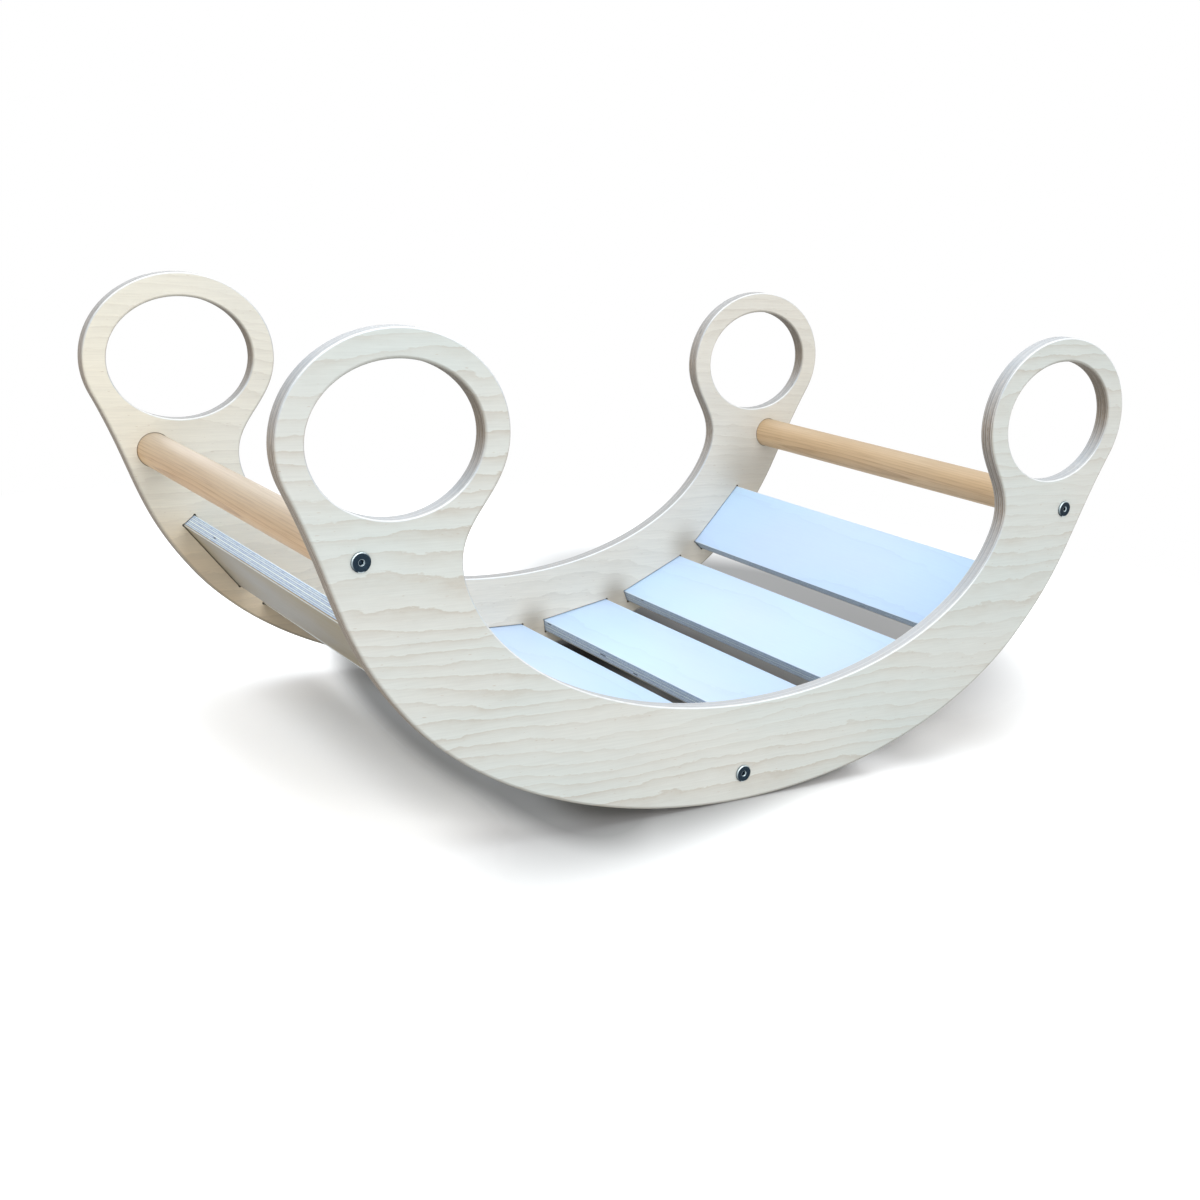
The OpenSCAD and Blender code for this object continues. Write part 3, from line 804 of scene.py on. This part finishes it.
bolt = dict(
    headDiameter=0.016, headThickness=0.0022, rim=0.0007, rimSteps=5, underEase=0.0002,
    ringDiameter=0.0050,  # countersink round the socket
    margin=0.0003, dip=0.0001,  # strip between two tones, and how far it sinks
    socket=0.004, socketDepth=0.003,
    funnel=[(1.12, 0.0006, 1.0), (1.0, 0.0009, 0.5)],  # socket's mouth: share of width, depth, shine
    thread=0.006, pitch=0.001, threadDepth=0.00055,
    threadSteps=6,  # rings in each pitch
    threadEase=0.001,  # over which the thread rises at both ends
    tip=[(0.0012, 0.0), (0.0006, 0.0004)],  # how much thinner, and how far from the end
    threadFrom=0.001, threadTo=0.0012, neck=0.0008,
    barLength=0.030, slatLength=0.038,
    underShine=0.3, rimShine=1.0, topShine=0.6, rimTurn=0.8,  # share of its turn at which the rim ends
    litSide=(-0.5, 0.87), litLeast=0.28, litGain=0.8,  # where the painted highlight on the head's rim falls: upper left
    segments=72, sharp=32,
)
metalLook = dict(
    face=(44, 58, 70), bright=(214, 228, 234), rough=(0.24, 0.4),
    nut=(150, 160, 170), nutRough=(0.28, 0.44),
    brass=(196, 168, 96), brassRough=(0.26, 0.42),
    cloudStretch=(420, 420, 420), scratchStretch=(2600, 300, 900), noiseRange=(0.3, 0.7),
    shades=(0.82, 1.12), bump=0.12, relief=0.00004,
)


def metal(name, plain, rough, bright=None):
    # Plated metal: cloudy colour and fine scratches, brighter where the mark of burnish and painted highlight
    # says
    material, tree = startMaterial(name)
    place = addNode(tree, "TexCoord").outputs["Object"]
    cloud = noiseAt(tree, place, metalLook["cloudStretch"], detail=3.0, rough=0.6)
    scratch = noiseAt(tree, place, metalLook["scratchStretch"], rough=0.6, shift=(1, 2, 3))
    shade = spread(tree, cloud, *metalLook["noiseRange"], *metalLook["shades"])
    colour = plain
    if bright:
        mark = addNode(tree, "Attribute", attribute_name="burnishAndHighlight").outputs["Fac"]
        colour = mixColours(tree, mark, colour, bright)
    colour = mixColours(tree, 1.0, colour, greyColour(tree, shade), "MULTIPLY")
    roughness = spread(tree, scratch, *metalLook["noiseRange"], *rough)
    bump, relief = metalLook["bump"], metalLook["relief"]
    endMaterial(tree, colour, roughness, scratch, bump, relief, {"Metallic": 1.0})
    return material


zinc = metal("zincPlate", metalLook["face"], metalLook["rough"], metalLook["bright"])
plainZinc = metal("zincNut", metalLook["nut"], metalLook["nutRough"])
brass = metal("brassInsert", metalLook["brass"], metalLook["brassRough"])


def boltPiece(name, node, spot, length, front):
    # Rings of the shank, head and socket from the tip up. The thread's radius follows a wave of height
    # over pitch less the turn, so that its crest climbs.
    count = bolt["segments"]
    a = np.linspace(0, 2 * math.pi, count, endpoint=False)
    shape, burnishAndHighlight, rings = newShape(), [], []

    def ring(radius, height, shine=0.0):
        flat = spot + np.column_stack([radius * np.cos(a), radius * np.sin(a)])
        rings.append(addRing(shape, flat, outerY + height))
        burnishAndHighlight.append(np.full(count, shine))

    core = bolt["thread"] / 2
    for thinner, fromEnd in bolt["tip"]:
        ring(core - thinner, -length + fromEnd)
    run = np.arange(-length + bolt["threadFrom"], -bolt["threadTo"], bolt["pitch"] / bolt["threadSteps"])
    for height in run:
        wave = np.abs(((height / bolt["pitch"] - a / (2 * math.pi)) % 1) * 2 - 1)
        ease = min(1, (height - run[0]) / bolt["threadEase"], (run[-1] - height) / bolt["threadEase"])
        ring(core - bolt["threadDepth"] * wave * max(ease, 0), height)
    ring(core, -bolt["neck"])
    ring(core, 0)
    head, rim, top = bolt["headDiameter"] / 2, bolt["rim"], bolt["headThickness"]
    ring(head - bolt["underEase"], 0)
    ring(head, bolt["underEase"], bolt["underShine"])
    for share in np.linspace(0, 1, bolt["rimSteps"]):
        angle = share * math.pi / 2
        shine = bolt["rimShine"] if share < bolt["rimTurn"] else bolt["topShine"]
        ring(head - rim * (1 - math.cos(angle)), top - rim * (1 - math.sin(angle)), shine)
    ring(head - rim - bolt["margin"], top)
    sink = bolt["ringDiameter"] / 2
    ring(sink + bolt["margin"], top)
    ring(sink, top - bolt["dip"], 1.0)
    half = bolt["socket"] / 2
    hexagon = half / np.cos((a + math.pi / 6) % (math.pi / 3) - math.pi / 6)
    for share, depth, shine in bolt["funnel"]:
        ring(hexagon * share, top - depth, shine)
    ring(hexagon, top - bolt["socketDepth"])
    addWalls(shape, rings, capped=True)
    points = np.concatenate(shape["points"])
    if front:
        middle = np.array([spot[0], 0, 0])
        points = (points - middle) * (-1, -1, 1) + middle
    # Painted highlight: brighter on the rim's upper-left side, and full inside the countersink
    off = (points[:, [0, 2]] - spot) @ np.array(bolt["litSide"])
    lit = np.clip(bolt["litLeast"] + bolt["litGain"] * off / head, 0, 1)
    lit = np.where(np.abs(points[:, 0] - spot[0]) < sink, 1, lit)
    marks = {"burnishAndHighlight": np.concatenate(burnishAndHighlight) * lit}
    return makePiece(name, shape, points, zinc, node, marks, bolt["sharp"])


for front, where in ((True, "front"), (False, "rear")):
    boltPiece(where + "BoltRight", where + "_right_bolt", barSpot, bolt["barLength"], front)
    boltPiece(where + "BoltLeft", where + "_left_bolt", barSpot * (-1, 1), bolt["barLength"], front)
    boltPiece(where + "BoltMiddle", where + "_centre_bolt", middleBoltSpot, bolt["slatLength"], front)
print("bolts driven")


# Barrel nuts in the middle slat, with a screwdriver slot that shows from below

def barrelNut(name, node, end):
    # Rounds of the profile across Z; points of the lower end that lie in the slot are raised by its depth
    a = np.linspace(0, 2 * math.pi, nut["segments"], endpoint=False)
    radius, half, ease = nut["diameter"] / 2, nut["length"] / 2, nut["chamfer"]
    rows = [(radius - ease, half), (radius, half - ease), (radius, -half + ease), (radius - ease, -half)]
    rows += [(r, -half) for r in np.linspace(radius - ease, nut["tip"], nut["endRounds"])[1:]]
    shape, rings = newShape(), []
    for row, (r, h) in enumerate(rows):
        x, across = r * np.cos(a), r * np.sin(a)
        inSlot = (row > 3) & (np.abs(across) < nut["slotWidth"] / 2)  # only past the lower chamfer
        rings.append(addPoints(shape, np.column_stack([x, across, h + nut["slotDepth"] * inSlot])))
    for near, far in [rings[:2], *zip(rings[2:-1], rings[3:])]:
        shape["faces"] += np.column_stack([far, np.roll(far, -1), np.roll(near, -1), near]).tolist()
    shape["faces"] += [rings[0].tolist(), rings[-1][::-1].tolist()]
    wallWithBore(shape, rings[1], rings[2])
    points = np.concatenate(shape["points"]) + (0, end * (seatY - nut["inFromEnd"]), middleBoltSpot[1])
    return makePiece(name, shape, points, plainZinc, node, None, nut["sharp"])


def wallWithBore(shape, top, bottom):
    # Each half of the round wall is drawn in from its border to the bore, in shares of turn and height.
    # The bore's edge lies where the radius times the cosine of the turn is its own x.
    radius, high, across = nut["diameter"] / 2, nut["length"] / 2 - nut["chamfer"], nut["cross"] / 2
    quarter = np.arange(nut["segments"] // 2 + 1)
    down = np.linspace(high, -high, nut["sideSteps"] + 1)[1:-1]
    none = np.zeros(len(down))
    left, right = [addPoints(shape, np.column_stack([none + x, none, z]))
                   for x, z in ((-radius, down), (radius, down[::-1]))]
    turns = quarter * 2 * math.pi / nut["segments"]
    borderTurn = np.concatenate([turns, none + math.pi, turns[::-1], none])
    borderHigh = np.concatenate([np.full(len(turns), high), down, np.full(len(turns), -high), down[::-1]])
    way = np.arctan2(borderHigh, radius * (math.pi / 2 - borderTurn))
    boreTurn, boreHigh = np.arccos(across * np.cos(way) / radius), across * np.sin(way)
    edges = []
    for hand in (1, -1):
        rings = [np.concatenate([top[hand * quarter], left, bottom[hand * quarter[::-1]], right])]
        for share in nut["wallShares"]:
            turn, z = boreTurn + share * (borderTurn - boreTurn), boreHigh + share * (borderHigh - boreHigh)
            points = np.column_stack([radius * np.cos(turn), hand * radius * np.sin(turn), z])
            rings.append(addPoints(shape, points))
        for pair in zip(rings[:-1], rings[1:]):
            addWall(shape, *pair[::hand])
        edges.append(rings[-1])
    addWall(shape, *edges)


barrelNut("barrelNutFront", "front_barrel_nut", -1)
barrelNut("barrelNutRear", "rear_barrel_nut", 1)

for name in ("front_left_insert", "front_right_insert", "rear_left_insert", "rear_right_insert"):
    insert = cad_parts[name]
    insert.data.materials.clear()
    insert.data.materials.append(brass)
print("nuts and inserts in")


# Floor, light and camera

studio = dict(
    floorReach=8.0, floorDrop=0.0003,
    floorShade=232,  # the floor's own grey, from 0 to 255
    floorGain=1.38,  # how much brighter the camera sees it
    nearWhite=0.78, farWhite=1.3,  # distances over which the seen floor fades to white
    # Painted shadow in soft ellipses round the object: middle, half axes, turn in radians, start of the fall,
    # depth
    dusk=[((0.173, -0.075), (0.693, 0.169), 0.487, 0.385, 0.727),
          ((0.42, 0.26), (0.56, 0.414), 1.36, 0.414, 0.777),
          ((-0.118, 0.082), (0.113, 0.4), -0.135, 0.696, 0.688)],
    duskLeast=0.29,  # share of light left where they overlap
    # The deepest painted shadow, under the rear side and right of the middle
    deepDusk=((0.164, 0.269), (0.35, 0.193), 0.886, 0.236, 0.889),
    ambient=0.36, ambientColour=(0.99, 0.995, 1.0),
    aim=(0, 0, 0.15),  # where the lamps look
)
lamps = dict(
    topLamp=dict(place=(-0.1, 0.15, 2.4), size=2.9, power=41, colour=(0.93, 0.97, 1.0)),
    frontLamp=dict(place=(-0.35, -2.95, 1.5), size=2.2, power=49, colour=(0.995, 0.997, 1.0)),
    backLamp=dict(place=(0.5, 2.9, 1.6), size=2.2, power=20, colour=(1.0, 0.99, 0.98)),
    leftLamp=dict(place=(-4.25, -0.95, 2.6), size=3.3, power=47, colour=(0.98, 0.99, 1.0)),
)


def duskLobe(tree, place, middle, half, turn, start, depth):
    # Light left by one ellipse: 1 less depth inside it, rising softly to 1 at its edge
    lobe = addNode(tree, "Mapping", {
        "Vector": place, "Location": (*middle, 0), "Rotation": (0, 0, turn), "Scale": (*half, 1),
    }, vector_type="TEXTURE").outputs[0]
    out = addNode(tree, "VectorMath", {0: lobe}, operation="LENGTH").outputs["Value"]
    return spread(tree, out, start, 1.0, 1 - depth, 1.0, "SMOOTHSTEP")


def floorPiece():
    # Wide square just under the runners, which the camera sees fade to white and darken in soft ellipses of
    # painted shadow
    reach, low = studio["floorReach"], -studio["floorDrop"]
    corners = [(-reach, -reach, low), (reach, -reach, low), (reach, reach, low), (-reach, reach, low)]
    mesh = bpy.data.meshes.new("floor")
    mesh.from_pydata(corners, [], [(0, 1, 2, 3)])
    material, tree = startMaterial("floorPaper")
    seen = addNode(tree, "LightPath").outputs["Is Camera Ray"]
    place = addNode(tree, "TexCoord").outputs["Object"]
    away = addNode(tree, "VectorMath", {0: place}, operation="LENGTH").outputs["Value"]
    far = spread(tree, away, studio["nearWhite"], studio["farWhite"])
    shade = 1.0
    for lobe in studio["dusk"]:
        shade = times(tree, duskLobe(tree, place, *lobe), shade)
    shade = maths(tree, "MAXIMUM", shade, studio["duskLeast"])
    shade = times(tree, duskLobe(tree, place, *studio["deepDusk"]), shade)
    shade = times(tree, shade, studio["floorGain"])
    paper = mixColours(tree, seen, (studio["floorShade"],) * 3, greyColour(tree, shade))
    diffuse = addNode(tree, "BsdfDiffuse", {"Color": paper})
    white = addNode(tree, "Emission", {"Color": (1, 1, 1, 1), "Strength": 1.0})
    shown = times(tree, seen, far)
    both = addNode(tree, "MixShader", {0: shown, 1: diffuse.outputs[0], 2: white.outputs[0]})
    addNode(tree, "OutputMaterial", {"Surface": both.outputs[0]})
    mesh.materials.append(material)
    addObject("floor", mesh)


def worldLight():
    # White behind everything for the camera, gloss and glass; a soft ambient for the rest
    world = bpy.data.worlds.new("softRoom")
    bpy.context.scene.world = world
    world.use_nodes = True
    tree = world.node_tree
    tree.nodes.clear()
    path = addNode(tree, "LightPath").outputs
    mirrored = maths(tree, "MAXIMUM", path["Is Glossy Ray"], path["Is Transmission Ray"])
    shown = maths(tree, "MAXIMUM", path["Is Camera Ray"], mirrored)
    ambient = addNode(tree, "Background", {
        "Color": (*studio["ambientColour"], 1), "Strength": studio["ambient"]})
    white = addNode(tree, "Background", {"Color": (1, 1, 1, 1), "Strength": 1.0})
    both = addNode(tree, "MixShader", {0: shown, 1: ambient.outputs[0], 2: white.outputs[0]})
    addNode(tree, "OutputWorld", {"Surface": both.outputs[0]})


def softLamp(name, place, size, power, colour):
    # Square area lamp turned towards the aim
    lamp = bpy.data.lights.new(name, "AREA")
    lamp.shape, lamp.size = "SQUARE", size
    lamp.energy, lamp.color = power, colour
    made = addObject(name, lamp)
    made.location = place
    ray = Vector(studio["aim"]) - Vector(place)
    made.rotation_euler = ray.to_track_quat("-Z", "Y").to_euler()


floorPiece()
worldLight()
for name, settings in lamps.items():
    softLamp(name, **settings)

shot = dict(
    place=(-0.86337, -1.23843, 0.52794),
    yaw=0.609, pitch=0.2928, roll=0.0762,  # in radians, from looking along +Y and level
    lens=45.28, sensor=36.0, shift=(-0.0003, 0.0431),
    clip=(0.05, 60),
)


def cameraAt():
    # Forward from yaw and pitch; right and up then turned about it by roll
    yaw, pitch, roll = shot["yaw"], shot["pitch"], shot["roll"]
    ahead = np.array([math.sin(yaw) * math.cos(pitch), math.cos(yaw) * math.cos(pitch), -math.sin(pitch)])
    right = np.array([math.cos(yaw), -math.sin(yaw), 0])
    up = np.cross(right, ahead)
    turnedRight = math.cos(roll) * right + math.sin(roll) * up
    turnedUp = -math.sin(roll) * right + math.cos(roll) * up
    camera = bpy.data.cameras.new("camera")
    camera.lens, camera.sensor_width = shot["lens"], shot["sensor"]
    camera.shift_x, camera.shift_y = shot["shift"]
    camera.clip_start, camera.clip_end = shot["clip"]
    made = addObject("camera", camera)
    grid = np.eye(4)
    grid[:3] = np.column_stack([turnedRight, turnedUp, -ahead, shot["place"]])
    made.matrix_world = Matrix(grid.tolist())
    bpy.context.scene.camera = made


cameraAt()
bpy.context.scene.view_settings.view_transform = "Standard"
print("floor, light and camera set")
